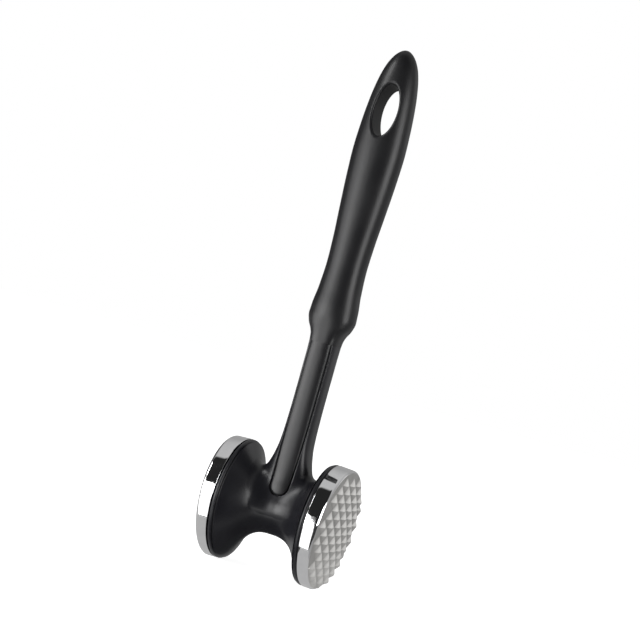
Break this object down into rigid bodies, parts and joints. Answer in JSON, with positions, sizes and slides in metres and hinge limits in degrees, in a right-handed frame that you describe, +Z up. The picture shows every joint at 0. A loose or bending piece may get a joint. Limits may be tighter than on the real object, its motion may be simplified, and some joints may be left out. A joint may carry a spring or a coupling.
{
  "type": "meat mallet",
  "caption": "Meat mallet with a waisted black head between a toothed and a smooth steel plate, on a moulded handle with a hanging hole.",
  "frame": {"origin": "middle of the bottom of the whole mallet's box, with the mallet upright on the rims of its head", "axes": "+Z up the handle from the head to the hanging hole, +X along the head from the smooth plate to the toothed plate, -Y is the front"},
  "size_m": [0.0608, 0.0564, 0.247],
  "materials": {
    "core_plastic": "satin near-black moulding",
    "grip_plastic": "satin near-black moulding",
    "toothed_steel": "mirror band with a satin blasted toothed face",
    "polished_steel": "mirror polished",
    "plain_steel": "plain turned",
    "seal_rubber": "matt black"
  },
  "bodies": {
    "root": {"core_moulding": "core_plastic", "grip_overmould": "grip_plastic", "toothed_plate": "toothed_steel", "smooth_plate": "polished_steel", "tie_stud": "plain_steel", "spacer_sleeve": "plain_steel", "lock_washer_toothed": "plain_steel", "lock_washer_smooth": "plain_steel", "sealing_ring_toothed": "seal_rubber", "sealing_ring_smooth": "seal_rubber", "core_rod": "plain_steel"}
  },
  "joints": []
}
